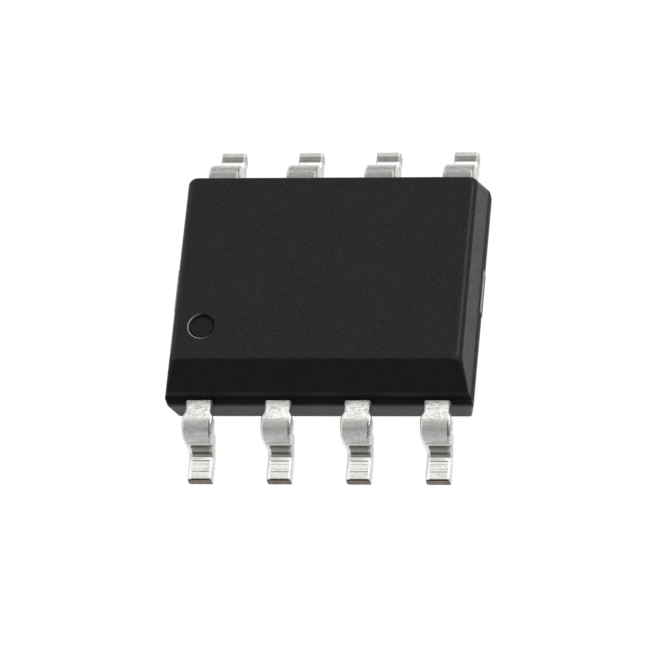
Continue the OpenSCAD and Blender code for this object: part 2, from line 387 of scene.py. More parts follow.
def mark_rings(outline, centre, radius, depth, round_edge, count, lean=0.0):
    """Rings from an outline in to a round mark, over its lip and down to its floor.

    Each column goes straight towards the mark's middle and meets the circle at its own angle. The
    wall leans inwards by lean on its way down. Also returns two shares for the finish: a painted
    highlight on the lip, on one side only, and painted shade in the mark, strongest on the wall and
    weaker on the floor.
    """
    from_centre = outline[:, :2] - centre
    angle = np.arctan2(from_centre[:, 1], from_centre[:, 0])
    circle = direction(angle)
    turn = np.linspace(0, math.pi/2, 6)
    lip = radius + round_edge*(1 - np.sin(turn))
    drop = round_edge*(1 - np.cos(turn))
    foot = radius - round_edge*(1 - np.cos(turn)) - lean*np.sin(turn)
    reach = np.concatenate([lip, foot, [radius*0.6, radius*0.2]])
    fall = np.concatenate([drop, depth - round_edge*(1 - np.sin(turn)), [depth, depth]])
    share = np.concatenate([[0.01], np.linspace(0.06, 0.96, count), [0.99]])[:, None, None]
    edge = centre + circle*lip[0]
    flat = outline[:, :2]*(1 - share) + edge*share
    well = centre + circle*reach[:, None, None]
    across = np.concatenate([flat, well])
    level = np.concatenate([np.zeros(len(flat)), fall])
    # Painted highlight on one side of the lip, and painted shade on the mark's wall and floor
    lip_highlight = np.zeros(across.shape[:2])
    lip_highlight[len(flat):len(flat) + 5] = np.clip(np.cos(angle - LIP_HIGHLIGHT_FROM) + 0.35, 0, 1)
    deep = np.zeros(across.shape[:2])
    deep[len(flat):] = np.array([0]*4 + [1]*6 + [0.5] + [0.34]*3)[:, None]
    return across, level, lip_highlight, deep


top_across, top_fall, top_lip_highlight, top_mark_shade = mark_rings(
    walls[-1], MARK_CENTRE - (MISMATCH, 0), MARK_RADIUS, MARK_DEPTH, MARK_LIP, 16, MARK_LEAN)
base_across, base_fall, _, _ = mark_rings(
    walls[0], np.zeros(2), EJECTOR_RADIUS, EJECTOR_DEPTH, EJECTOR_LIP, 12)
print("rings of the top:", len(top_across), "and of the underside:", len(base_across))

# %% All rings of the body
def stack(across, level):
    """Rings of flat places, each ring raised to its own level."""
    height = np.broadcast_to(level[:, None, None], across.shape[:2] + (1,))
    return np.concatenate([across, height], axis=-1)


top_rings = stack(top_across, body_top - top_fall)
base_rings = stack(base_across, body_base + base_fall)[::-1]
body_rings = np.concatenate([base_rings, walls, top_rings])
# The mismatch is a shear that grows from nothing at the leads' top to its full size at the top
rise = np.clip((body_rings[..., 2] - lead_top)/(body_top - lead_top), 0, 1)
body_rings[..., 0] += MISMATCH*rise
plain = np.zeros((len(base_rings) + len(walls), body_rings.shape[1]))
# Painted shade in the round mark and a painted highlight on its lip, with none below the top
mark_shade, lip = np.concatenate([plain, top_mark_shade]), np.concatenate([plain, top_lip_highlight])
print("rings of the body:", len(body_rings))

# %% [markdown]
# ## Where the skin is rubbed, and where light and shade are painted on it
#
# Handling rubs edges smoother, and walls keep a duller grain than the top. On top of that, the ends'
# upper edges get a painted sheen, one side of the round mark's lip a painted highlight, and the
# mark's wall and floor painted shade. The finish has to know those places. They could be painted by
# hand, but the form already tells: at an edge the normals of neighbouring points differ, and on a
# wall they lie level. So the mesh carries shares from 0 to 1 by name: edge is rubbed, lip holds the
# painted highlight on the mark's lip, one share holds the painted sheen on the ends' edges and one
# the painted shade in the round mark, steep is any wall, at_end and left_end are end walls, and
# slope is the bevel.

# %% How sharply the surface turns at each point
def ring_normals(rings):
    """Unit normals: the cross product of the steps along a ring and across the rings."""
    along = np.roll(rings, -1, axis=1) - np.roll(rings, 1, axis=1)
    normal = np.cross(along, np.gradient(rings, axis=0))
    return normal/np.maximum(np.linalg.norm(normal, axis=-1, keepdims=True), 1e-12)


def edge_strength(rings, limit):
    """0 on flats and 1 on edges: how far the normals of neighbouring points differ.

    The difference is one minus the dot product of two neighbours, measured against limit.
    """
    normal = ring_normals(rings)
    down = 1 - np.einsum("rck,rck->rc", normal[1:], normal[:-1])
    around = 1 - np.einsum("rck,rck->rc", normal, np.roll(normal, 1, axis=1))
    strength = np.maximum(around, np.roll(around, -1, axis=1))
    strength[1:] = np.maximum(strength[1:], down)
    strength[:-1] = np.maximum(strength[:-1], down)
    return np.clip(strength/limit, 0, 1)


body_edge = edge_strength(body_rings, 0.012)
print("share of the body's points on an edge", round(float((body_edge > 0.5).mean()), 3))

# %% Make the moulded body
END_SHEEN_TILT = 23           # degrees from level at which the painted sheen on the ends' upper edges is strongest
END_SHEEN_SPREADS = (11, 24)  # how fast that fades, towards level and towards upright
across_x, across_y, upward = np.moveaxis(ring_normals(body_rings), -1, 0)
steep = 1 - np.clip(np.abs(upward)/0.6, 0, 1)
at_end = smooth(np.abs(across_x), 0.6, 0.85)
left_end = smooth(-across_x, 0.6, 0.85)*smooth(upward, 0.05, 0.15)
slope = smooth(-across_y, 0.35, 0.6)*smooth(upward, 0.3, 0.5)
tilt = np.degrees(np.arctan2(np.abs(across_x), upward))
fade = np.where(tilt > END_SHEEN_TILT, END_SHEEN_SPREADS[1], END_SHEEN_SPREADS[0])
# Painted sheen along the upper edges of the two ends
end_edge_sheen = np.where(np.abs(across_y) < 0.5, np.exp(-((tilt - END_SHEEN_TILT)/fade)**2), 0)
body_piece = closed_skin(
    "moulded_body", body_rings, (0, 0, body_base + EJECTOR_DEPTH),
    (*MARK_CENTRE, body_top - MARK_DEPTH),
    {"edge": body_edge, "mark_shade": mark_shade, "steep": steep, "lip": lip, "at_end": at_end,
     "left_end": left_end, "slope": slope, "end_edge_sheen": end_edge_sheen})
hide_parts("body")
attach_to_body(body_piece, "root")

# %% [markdown]
# ## The moulding compound's finish
#
# The compound is epoxy with a little carbon black, filled by about nine tenths with tiny silica
# beads, so its colour is a soft charcoal and never deep black. The mould is spark-eroded, which
# leaves a fine matte grain. Face-on it is dark, and at a low angle the resin skin turns pale grey,
# because the film over the beads reflects like any resin at grazing light. Round the parting line
# the skin is torn where the flash broke off, so it is dull and almost black. The walls just above it
# get painted shade that fades upwards. The bevel, the end walls and the round mark get painted shade
# too, the ends' upper edges a painted sheen, and one side of the mark's lip a painted highlight. The
# grain is drawn a little coarser than the real ten microns, so that it shows.

# %% Moulded epoxy compound
CLOUD, PATCH = 1.1, 0.13  # uneven colour of the compound, and uneven gloss of its walls
GRAIN = 0.030             # spark-eroded grain, in millimetres
BEADS = 0.016             # silica beads that show as pale specks
# Torn skin on the land, and painted shade on the walls above it, against the height above the land's
# top: from, to, and the share at each. It sets in on the land, fades out up the long walls, and ends
# sooner at the two ends
TORN_SKIN_AND_SHADE = [(-0.20, -0.12, 0.0, 1.0), (0.03, 0.26, 1.0, 0.0), (0.00, 0.12, 0.85, 0.0)]


def moulded_epoxy():
    """Moulded epoxy, spark-eroded: a soft charcoal without shine, which pales at a low angle."""
    made, tree, place, edge, mark_shade, steep, lip, at_end, left_end, slope, end_edge_sheen = new_material(
        "moulded_epoxy_spark_eroded", "edge", "mark_shade", "steep", "lip", "at_end", "left_end", "slope",
        "end_edge_sheen")
    cloud, fine, beads, patch = (
        add(tree, "TexNoise", (place, per_mm(size), detail, rough))
        for size, detail, rough in ((CLOUD, 3.0, 0.5), (GRAIN, 3.0, 0.6), (BEADS, 1.0, 0.5),
                                    (PATCH, 4.0, 0.5)))
    clouded = add(tree, "MapRange", (cloud, 0.35, 0.65))
    grained = add(tree, "MapRange", (fine, 0.38, 0.62))
    specks = add(tree, "MapRange", (beads, 0.66, 0.80))
    level = add(tree, "SeparateXYZ", (place,), out="Z")
    below, fading, sudden = (
        add(tree, "MapRange", (level, (LAND_TOP + low)*MM, (LAND_TOP + high)*MM, first, last),
            **ease) for (low, high, first, last), ease in zip(TORN_SKIN_AND_SHADE, (EASED, EASED, {})))
    above = add(tree, "Mix", (at_end, fading, sudden))
    torn_and_shaded = add(tree, "Math", (below, above), operation="MULTIPLY")
    # The bevel and the ends get painted shade and less glint than the top: the bevel 0.40 of the way
    # to torn skin, the ends 0.10
    walls = add(tree, "Math", (at_end, 0.10), operation="MULTIPLY")
    walls = add(tree, "Math", (slope, 0.40, walls), operation="MULTIPLY_ADD")
    # Torn skin and painted shade: darker and with less glint, in the mark and on the walls too
    dull = add(tree, "Math", (torn_and_shaded, mark_shade), operation="MAXIMUM")
    dull = add(tree, "Math", (dull, walls), operation="MAXIMUM")
    tone = coats(tree, "#0b0b0d", [
        ([clouded], 1.0, "#0f0f12"),      # carbon black, unevenly mixed
        ([grained], 1.0, "#1b1c1f"),      # tops of the grain
        ([specks], 0.35, "#5a5c60"),      # silica beads
        ([end_edge_sheen], 0.75, "#29292b"),  # painted sheen on the ends' upper edges, pale grey
        ([dull], 0.80, "#0c0c0c"),        # torn skin, and painted shade above it, in the mark and on the walls
        ([lip], 0.90, "#86868a")])        # painted highlight on one side of the mark's lip
    rough = add(tree, "MapRange", (fine, 0.3, 0.7, 0.42, 0.56))
    uneven = add(tree, "MapRange", (patch, 0.35, 0.65, -0.04, 0.05))
    for mask, change in ((steep, uneven), (steep, -0.20), (edge, -0.22), (left_end, -0.15),
                         (torn_and_shaded, 0.30)):
        rough = add(tree, "Math", (mask, change, rough), operation="MULTIPLY_ADD")
    glint = add(tree, "MapRange", (dull, 0.0, 1.0, 0.5, 0.08))
    return finished(made, {"Base Color": tone, "Roughness": rough, "IOR": 1.23,
                           "Specular IOR Level": glint}, fine, 0.8, 0.006)


epoxy = moulded_epoxy()
body_piece.data.materials.append(epoxy)
print(epoxy.name, "has", len(epoxy.node_tree.nodes), "nodes")

# %% [markdown]
# ## The leads
#
# Each lead is stamped from copper strip, held by a dam bar while the body is moulded, tinned,
# trimmed free and pressed into a gull wing. The stamping rolls its upper edges round and leaves
# the stubs of the dam bar, where the lead is widest. The bending tool burnishes the inside of the
# lower bend and coins fine lines across the foot. It could be an extruded profile, but its width
# changes all along. A section carried along the path of the strip follows that: the path is two
# quarter bends with straights between, and the half widths ease from neck to stub, leg and foot.

# %% Sizes of a lead, in millimetres
SHOULDER = 0.34                         # flat outside the body, up to the first bend
TOP_BEND, FOOT_BEND = 0.17, 0.30        # radius of each bend, at the middle of the strip
NECK, STUB, LEG, FOOT = 0.21, 0.25, 0.235, 0.20  # half widths, from body to toe
TO_STUB, TO_LEG, TO_FOOT = (0.17, 0.31), (0.48, 0.64), (0.72, 0.97)  # where each width sets in
HEAD = 0.33                             # half width of the bonding head, inside the body
HEAD_START, HEAD_LENGTH, TAB_LENGTH, TAB_WIDTH = 1.15, 0.50, 0.50, 0.42
TOP_ROUND, UNDER_ROUND = 0.042, 0.016   # edges rolled by the stamping tool, and its burr side
TIP_ROUND = 0.015                       # round of the cut toe
print("a lead falls", round(lead_top - STRIP, 3), "from its shoulder to the board")

# %% Path of the strip
BEND_START = SHOULDER
BEND_END = BEND_START + TOP_BEND*math.pi/2
LEG_LENGTH = lead_top - STRIP - TOP_BEND - FOOT_BEND
LEG_END = BEND_END + LEG_LENGTH
FOOT_START = LEG_END + FOOT_BEND*math.pi/2
OUT = half_width + SHOULDER + TOP_BEND + FOOT_BEND  # where the foot starts, from the middle
HEAD_IN = HEAD_START - half_width                   # both ends of the head lie inside the wall
HEAD_OUT = HEAD_IN + HEAD_LENGTH
TOE = FOOT_START + toe_reach - OUT
print("foot from", round(FOOT_START, 3), "to", round(TOE, 3), "along the strip from the wall")


def strip_path(along):
    """Where the middle of the strip is at each distance along it from the body's wall.

    The strip runs straight out, turns down through a quarter circle, falls, turns out again
    through another, and ends straight. Returns its reach, its height and its turn from level.
    """
    first = np.clip((along - BEND_START)/TOP_BEND, 0, math.pi/2)
    second = np.clip((along - LEG_END)/FOOT_BEND, 0, math.pi/2)
    fall = np.clip(along - BEND_END, 0, LEG_LENGTH)
    straight = np.minimum(along, BEND_START) + np.maximum(along - FOOT_START, 0)
    reach = half_width + straight + TOP_BEND*np.sin(first) + FOOT_BEND*(1 - np.cos(second))
    height = lead_top - STRIP/2 - TOP_BEND*(1 - np.cos(first)) - fall - FOOT_BEND*np.sin(second)
    return reach, height, first - second


def half_widths(along, side):
    """Half widths of the strip to its left and right.

    side is -1 or 1 for the first or last lead of a row, whose bonding head has a longer tab, and
    0 for the others.
    """
    outer = (NECK + (STUB - NECK)*smooth(along, *TO_STUB) - (STUB - LEG)*smooth(along, *TO_LEG)
             - (LEG - FOOT)*smooth(along, *TO_FOOT))
    outer = np.where((along >= HEAD_IN) & (along <= HEAD_OUT), HEAD, outer)
    return [np.where(along < HEAD_IN, HEAD if way*side > 0 else TAB_WIDTH - HEAD, outer)
            for way in (-1, 1)]


print("widths at the stub and the foot:", 2*STUB, 2*FOOT)

# %% Section of the strip, and the marks of the tools on it
flat_top = hem(25, 0.02)
flat_side = np.array([0, 0.12, 0.5, 0.88, 1])
lead_places, lead_ways = round_walk([flat_side, flat_top, flat_side, hem(7, 0.05)], [9, 9, 6, 6])
upper = lead_places[:, 1] > 0
# Lines across the strip: place from the start of the foot, half width, depth, and darkness of the
# painted shade in the groove
LINES = [(-0.580, 0.009, 0.005, 0.45), (-0.066, 0.012, 0.002, 0.72), (0.003, 0.006, 0.003, 0.35),
         (0.085, 0.006, 0.003, 0.25), (0.135, 0.008, 0.004, 0.72)]
INSIDE = FOOT_BEND - STRIP/2   # radius of the lower bend's upper face
LEDGE = 0.016                  # height of the ledge where the punch began to bear
LEVEL_TURN = math.radians(61)  # turn of the lower bend where the level ledge begins


def tool_marks(along, shift):
    """How far the tools moved the strip's upper face inwards, and how much painted shade lies in the
    lines.

    Each line is a bell-shaped groove. The punch also leaves two narrow ledges: one where it began
    to bear, at the lower end of the leg, and one just before the foot, which lies level while the
    bend goes on below it, so it stands out by the bend's radius times the gain in its sine.
    """
    bells = [np.exp(-((along - FOOT_START - at - shift)/wide)**2) for at, wide, _, _ in LINES]
    groove, dark = (sum(bell*line[i] for bell, line in zip(bells, LINES)) for i in (2, 3))
    ledge = LEDGE*(smooth(along, 0.640, 0.650) - smooth(along, 0.93, 1.05))
    turn = np.sin(np.clip((along - LEG_END)/FOOT_BEND, 0, math.pi/2))
    level = INSIDE*np.maximum(turn - math.sin(LEVEL_TURN), 0)*(1 - smooth(along, 1.124, 1.138))
    return groove - ledge - level, dark


print("points round the strip:", len(lead_places), "and lines across it:", len(LINES))

# %% Rings of one lead
def lead_rings(side, shift, facing):
    """Rings of one lead of the front row, about its own middle, in millimetres.

    The shears came from the same side for both rows, so facing, which is -1 for the rear row,
    tells which lower edge they rolled round.
    """
    tip = TOE - TIP_ROUND
    # Rings stand closest where a bend or a ledge needs them. Each run has its own number of rings
    marks = [HEAD_IN - TAB_LENGTH, HEAD_IN - 0.001, HEAD_IN + 0.001, HEAD_OUT - 0.001,
             HEAD_OUT + 0.001, -0.01, BEND_START, 0.598, 0.604, 0.664, 1.045, 1.15, FOOT_START,
             tip, TOE]
    counts = [2, 1, 3, 1, 3, 24, 36, 4, 22, 50, 36, 10, 62, 5]
    if side == 0:
        marks, counts = marks[2:], counts[2:]
    along = stations(np.array(marks), counts)
    close = np.clip((along - tip)/TIP_ROUND, 0, 1)
    shrink = TIP_ROUND*(1 - np.sqrt(np.maximum(1 - close**2, 0)))
    left, right = half_widths(along, side)
    wide = ((left + right)/2 - shrink)[:, None]
    centre = ((right - left)/2)[:, None]
    thick = (STRIP/2 - shrink)[:, None]
    rolled = np.where(lead_places[:, 0]*facing < 0, TOP_ROUND, UNDER_ROUND)
    radius = np.where(upper, TOP_ROUND, rolled)
    across = centre + lead_places[:, 0]*(wide - radius) + lead_ways[:, 0]*radius
    through = lead_places[:, 1]*(thick - radius) + lead_ways[:, 1]*radius
    inset = smooth(1 - np.abs(lead_places[:, 0]), 0.0, 0.10)*(lead_ways[:, 1] > 0.99)
    moved, dark = (v[:, None]*inset for v in tool_marks(along, shift))
    through = through - moved
    reach, height, turn = (v[:, None] for v in strip_path(along))
    y = -(reach + through*np.sin(turn))
    z = height + through*np.cos(turn)
    return np.stack([across, y, z], axis=-1), along, dark


RIGHT_RIM_SHADE, LEFT_RIM_HIGHLIGHT = (44, 27), (115, 30)  # middle and spread of the painted shade on the right rolled edge and the painted highlight on the left one, in degrees


def rim_light_and_shade(facing):
    """1 on the strip's rolled upper edge on the part's right, and -1 on the left one.

    Both are bell-shaped in the angle round the strip's section, measured from the right. The finish
    paints shade on the right edge, tan on the front row and dark on the rear row, and a highlight on
    the left one.
    """
    angle = np.degrees(np.arctan2(lead_ways[:, 1], lead_ways[:, 0]*facing))
    flat = np.abs(lead_places[:, 0]) < 1
    right, left = (np.exp(-((angle - middle)/spread)**2) for middle, spread in (RIGHT_RIM_SHADE, LEFT_RIM_HIGHLIGHT))
    return np.where(flat, 0, right - left)


print("rings of an inner lead:", len(lead_rings(0, 0, 1)[0]))

# %% Make the eight leads
def make_lead(number):
    """One lead, on its own place in its row. The rear row is the front row turned by half a turn."""
    row = int(number > 4)
    low, high = box_mm(f"lead_{number}")
    middle = (low[0] + high[0])/2
    side = {1: -1, 4: 1}.get(number - 4*row, 0)
    shift = random.uniform(-0.002, 0.002)
    facing = 1 - 2*row
    rings, along, dark = lead_rings(side, shift, facing)
    rings = rings*np.array([facing, facing, 1]) + np.array([middle, 0, 0])
    start, end = rings[0].mean(axis=0), rings[-1].mean(axis=0)
    # Stretch of the strip over which the rolled edges get their painted highlight and shade
    rolled = smooth(along, 0.28, 0.36)*(1 - smooth(along, 0.95, 1.02))
    # The painted shade in the tool's lines goes with the mesh, as one value per point
    values = {"along": along[:, None], "edge": edge_strength(rings, 0.02), "pressed": dark,
              "cut_side": np.abs(lead_ways[:, 0]), "across": lead_places[:, 0]*0.5 + 0.5,
              "rear": float(row), "rim_shading": rim_light_and_shade(facing)*rolled[:, None]}
    piece = closed_skin(f"formed_lead_{number}", rings, start, end, values)
    toe_faces = np.zeros(len(piece.data.polygons), np.int32)
    toe_faces[-len(lead_places):] = 1
    piece.data.polygons.foreach_set("material_index", toe_faces)
    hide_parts(f"lead_{number}")
    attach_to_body(piece, "root")
    return piece


leads = [make_lead(number) for number in range(1, 9)]
print("leads made:", len(leads))

# %% [markdown]
# ## The leads' finish
#
# Matte tin is plated from a bath that grows coarse grains, so it scatters light like fine frost. On
# the shoulder it keeps that frost, with creases across it, painted as shade. Over the outside of the
# first bend it is stretched smooth, and inside the second bend the punch has burnished it and left
# lines. The tones along the strip are painted reflections and shade: grey over the bends and the
# leg, dark bands inside the lower bend, and a bright band before the foot. The rolled edges get a
# painted highlight on the left and painted shade on the right. The plating cracks along the rolled
# right edge of the leg. The trimmed sides let a little of the copper through, and the toe is a bare
# cut through the strip, with painted shade round its edges.

# %% Tones along the strip, with painted reflections and shade
# Each tone belongs to a distance from the body's wall, in millimetres. On the front row the tones
# are painted reflections and shade: grey over the first bend and the leg, dark bands inside the
# lower bend, a bright band before the foot and a dark rim at the toe. On the rear row they are
# painted shade near the body and in bands near the toe
FRONT_SHADED_TONES = [
    (0.00, "#f8f7f4"), (0.30, "#f5f4f1"), (0.329, "#d9d8d6"), (0.345, "#c0c0be"),
    (0.37, "#a3a3a1"), (0.40, "#a4a4a2"), (0.43, "#b0b0ae"), (0.448, "#c3c3c1"),
    (0.468, "#dfdfdd"), (0.49, "#f2f2f0"), (0.523, "#cdcdcb"), (0.54, "#bfbfbd"),
    (0.562, "#c2c2c0"), (0.594, "#dadad8"), (0.630, "#d0d0ce"), (0.640, "#e4e3e0"),
    (0.664, "#dcdbd9"), (0.682, "#403f3e"), (0.715, "#5a5a58"), (0.800, "#8a8a87"),
    (0.884, "#999996"), (0.900, "#80807d"), (0.930, "#6a6a67"), (0.965, "#2c2b29"),
    (1.009, "#c4c2be"), (1.040, "#757370"), (1.056, "#f8f7f4"), (1.215, "#f4f3f0"),
    (TOE - 0.118, "#e4e3e1"), (TOE - 0.012, "#dad9d7"), (TOE, "#2e2d2b")]
REAR_SHADED_TONES = [
    (0.00, "#a3a2a0"), (0.28, "#929190"), (0.34, "#979795"), (0.40, "#d6d6d4"),
    (0.60, "#d2d2d0"), (1.20, "#c0c0be"), (TOE - 0.226, "#f6f5f2"), (TOE - 0.186, "#f4f3f0"),
    (TOE - 0.172, "#5c5c5b"), (TOE - 0.130, "#959593"), (TOE - 0.090, "#626261"),
    (TOE - 0.074, "#b4b3b1"), (TOE, "#c8c7c4")]
# How much of the frost is left: all on the shoulder, and little where the punch bore
FROST_LEFT = [(0.00, "#ffffff"), (0.32, "#ffffff"), (0.40, "#dcdcdc"), (0.60, "#d0d0d0"),
              (0.66, "#505050"), (1.06, "#808080"), (1.40, "#d8d8d8")]
# Shares that change along the strip: from, to, and the share at each
ALONG = {
    "near_body": (0.20, 0.28, 1.0, 0.0),     # the sides are dark next to the body
    "creases": (0.10, 0.32, 0.9, 0.45),      # the creases' painted shade fades towards the bend
    "crack": (0.345, 0.365, 0.0, 1.0),       # the crack begins in the bend,
    "crack_closes": (0.50, 0.60, 1.0, 0.2),  # closes down the leg
    "above_ledge": (0.64, 0.66, 1.0, 0.0),   # and ends at the punch's ledge
    "below_ledge": (0.653, 0.673, 0.0, 1.0),
    "margin": (0.70, 0.95, 0.14, 0.08),   # width of the strip's pale left margin
    "burnished": (1.04, 1.06, 1.0, 0.0),  # the burnished zone ends before the foot
    "metal": (0.00, 0.14, 0.05, 0.72),    # the plating is more chalky next to the body
    "chalky": (0.90, 1.00, 0.0, 0.54),    # and on the band before the foot,
    "band_ends": (1.12, 1.15, 1.0, 0.0),  # which ends here
}
INSIDE_BODY = -0.2  # where the ramps begin, inside the body
print("tones on a front lead:", len(FRONT_SHADED_TONES), "and on a rear lead:", len(REAR_SHADED_TONES))

# %% The plating's frost and creases
FROST = 0.034          # size of the plated grains, drawn coarser than the real few microns
CREASE = 0.105         # distance between creases
CREASE_STRETCH = 0.35  # share of that scale along the row, so that they run across the lead


def on_ramp(stops):
    """Stops in millimetres from the body's wall as shares of a ramp that ends at the toe."""
    return [((place - INSIDE_BODY)/(TOE - INSIDE_BODY), colour) for place, colour in stops]


def frosted_tone(tree, place, frost, left, tone, shares):
    """The tone, flecked by the grains and crossed by creases, painted as shade, where frost is left.

    A crease runs where a distorted noise passes its middle value, so it is a thin winding line.
    """
    fleck = add(tree, "MapRange", (frost, 0.38, 0.62))
    flecks = add(tree, "Mix", (fleck, "#a3a19d", "#ffffff"), data_type="RGBA")
    cover = add(tree, "Math", (left, 0.35), operation="MULTIPLY")
    flecked = add(tree, "Mix", (cover, tone, flecks), data_type="RGBA", blend_type="MULTIPLY")
    drawn = add(tree, "VectorMath", (place, (CREASE_STRETCH, 1.0, 1.0)), operation="MULTIPLY")
    folds = add(tree, "TexNoise", {"Vector": drawn, "Scale": per_mm(CREASE), "Detail": 4.0,
                                   "Roughness": 0.6, "Distortion": 1.2})
    off = add(tree, "Math", (folds, 0.5), operation="SUBTRACT")
    off = add(tree, "Math", (off,), operation="ABSOLUTE")
    crease = add(tree, "MapRange", (off, 0.0, 0.030, 1.0, 0.0))
    # Painted shade in the creases, stronger next to the body
    return coats(tree, flecked, [([crease, shares["creases"], left], 1.0, "#62605d")])


print("one plated grain to", round(CREASE/FROST, 1), "of them between creases")

# %% Masks of the strip's edges
CRACK = (0.957, 0.995)         # share across the strip's flat face between which the crack wanders
CRACK_WIDTHS = (0.008, 0.036)  # half widths of its dark middle and of its soft edge, as shares


def crack_mask(tree, place, across):
    """1 on a line along the right edge whose place wanders with a noise, and 0 away from it."""
    wobble = add(tree, "TexNoise", (place, per_mm(0.05), 2.0))
    wander = add(tree, "MapRange", (wobble, 0.3, 0.7, *CRACK))
    apart = add(tree, "Math", (across, wander), operation="SUBTRACT")
    apart = add(tree, "Math", (apart,), operation="ABSOLUTE")
    return add(tree, "MapRange", (apart, *CRACK_WIDTHS, 1.0, 0.0), **EASED)


def margin_mask(tree, across, width):
    """1 on the strip's left margin, of that width as a share of its face, and 0 past it."""
    inset = add(tree, "Math", (across, width), operation="SUBTRACT")
    return add(tree, "MapRange", (inset, -0.015, 0.025, 1.0, 0.0), **EASED)


print("crack's place across the face, in shares:", CRACK)

# %% Matte tin plate
def matte_tin():
    """Tin plated matte, then formed: white frost, with painted reflections and shade where stretched
    and burnished.
    """
    made, tree, place, along, across, edge, cut, pressed, rear, rim_shading = new_material(
        "tin_plate_matte_formed", "along", "across", "edge", "cut_side", "pressed", "rear", "rim_shading")
    front = add(tree, "Math", (1.0, rear), operation="SUBTRACT")
    shares = {name: add(tree, "MapRange", (along, *window)) for name, window in ALONG.items()}
    spread = add(tree, "MapRange", (along, INSIDE_BODY, TOE))
    # Tones along the strip, with their painted reflections and shade
    front_tone, rear_tone, left = (add(tree, "ValToRGB", (spread,), stops=on_ramp(stops))
                                   for stops in (FRONT_SHADED_TONES, REAR_SHADED_TONES, FROST_LEFT))
    painted_strip_tone = add(tree, "Mix", (rear, front_tone, rear_tone), data_type="RGBA")
    frost = add(tree, "TexNoise", (place, per_mm(FROST), 3.0, 0.65))
    streaks = add(tree, "TexNoise", (place, per_mm(0.12), 4.0, 0.6))
    wiped = add(tree, "MapRange", (streaks, 0.3, 0.7))
    frosted = frosted_tone(tree, place, frost, left, painted_strip_tone, shares)
    right_rim_shade = add(tree, "MapRange", (rim_shading, 0.0, 1.0))
    left_rim_highlight = add(tree, "MapRange", (rim_shading, 0.0, -1.0))
    crack = [crack_mask(tree, place, across), shares["crack"], shares["crack_closes"],
             shares["above_ledge"], front]
    margin = [margin_mask(tree, across, shares["margin"]), shares["below_ledge"], front]
    tone = coats(tree, frosted, [
        ([pressed], 1.0, "#4a4a49"),            # painted shade in the lines of the bending tool
        ([wiped], 0.12, "#c9c7c3"),             # wiped patches
        (margin, 0.85, "#efede9"),              # paler strip along the left margin
        (crack, 0.84, "#2a2928"),               # crack in the plating
        ([right_rim_shade, front], 0.80, "#cbc2ba"),  # painted shade on the rolled right edge beside it: tan on the front row, dark grey on the rear
        ([right_rim_shade, rear], 0.95, "#3e3d3b"),
        ([left_rim_highlight], 0.60, "#f6f5f2"),    # painted highlight on the rolled left edge
        ([cut, front], 0.60, "#ece2dc"),  # copper shining through the sides
        ([cut, rear], 0.60, "#e0dcd8"),
        ([cut, shares["near_body"]], 0.85, "#353432")])  # sides in the body's shade
    begins = add(tree, "MapRange", (along, 0.33, 0.39), **EASED)
    ironed = add(tree, "Math", (begins, shares["burnished"]), operation="MULTIPLY")
    chalk = add(tree, "Math", (shares["chalky"], shares["band_ends"]), operation="MULTIPLY")
    metal_share = add(tree, "Math", (shares["metal"], chalk), operation="SUBTRACT")
    rough = add(tree, "MapRange", (ironed, 0.0, 1.0, 0.52, 0.34))
    uneven = add(tree, "MapRange", (frost, 0.3, 0.7, -0.05, 0.05))
    rough = add(tree, "Math", (rough, uneven), operation="ADD")
    height = add(tree, "Math", (frost, left), operation="MULTIPLY")
    rough = add(tree, "Math", (edge, -0.06, rough), operation="MULTIPLY_ADD")
    metallic = add(tree, "Mix", (ironed, metal_share, 1.0))
    return finished(made, {"Base Color": tone, "Metallic": metallic, "Roughness": rough},
                    height, 0.8, 0.009)


tin = matte_tin()
print(tin.name, "has", len(tin.node_tree.nodes), "nodes")

# %% Sheared copper alloy
SHEAR_BAND = (0.062, 0.046)  # painted shade in a band of the cut, below the strip's upper face
LOWER_EDGE = (0.010, 0.022)  # painted shade along the lower edge, above the board
SIDE_EDGE = (0.44, 0.485)    # painted shade at both sides, as shares from the middle


def sheared_copper():
    """Copper alloy, sheared and browned: dull, with painted shade in a frame round its edges."""
    made, tree, place, across = new_material("copper_alloy_sheared_oxidised", "across")
    height = add(tree, "SeparateXYZ", (place,), out="Z")
    aside = add(tree, "Math", (across, 0.5), operation="SUBTRACT")
    aside = add(tree, "Math", (aside,), operation="ABSOLUTE")
    band, low, side = (
        add(tree, "MapRange", feeds, **EASED)
        for feeds in ((height, *((STRIP - depth)*MM for depth in SHEAR_BAND)),
                      (height, *(level*MM for level in LOWER_EDGE), 0.6, 0.0),
                      (aside, *SIDE_EDGE, 0.0, 0.8)))
    painted_edge_shade = add(tree, "Math", (band, low), operation="MAXIMUM")
    painted_edge_shade = add(tree, "Math", (painted_edge_shade, side), operation="MAXIMUM")
    patch = add(tree, "TexNoise", (place, per_mm(0.06), 3.0))
    browner = add(tree, "MapRange", (patch, 0.35, 0.65))
    tone = coats(tree, "#706055", [([browner], 1.0, "#907d70"), ([painted_edge_shade], 1.0, "#141210")])
    metallic, glint = (add(tree, "MapRange", (painted_edge_shade, 0.0, 1.0, 0.5, least))
                       for least in (0.0, 0.1))
    return finished(made, {"Base Color": tone, "Metallic": metallic, "Roughness": 0.55,
                           "Specular IOR Level": glint}, patch, 0.4, 0.004)


copper_cut = sheared_copper()
for lead in leads:
    lead.data.materials.append(tin)
    lead.data.materials.append(copper_cut)
print("leads with both finishes:", len(leads))

# %% [markdown]
# ## What the body holds
#
# The die pad with its tie bars, the attach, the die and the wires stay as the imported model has
# them, because their shapes are plain and only the cut ends of the tie bars reach daylight. They
# get the finishes that an opened package would show, and one helper makes three of the four.

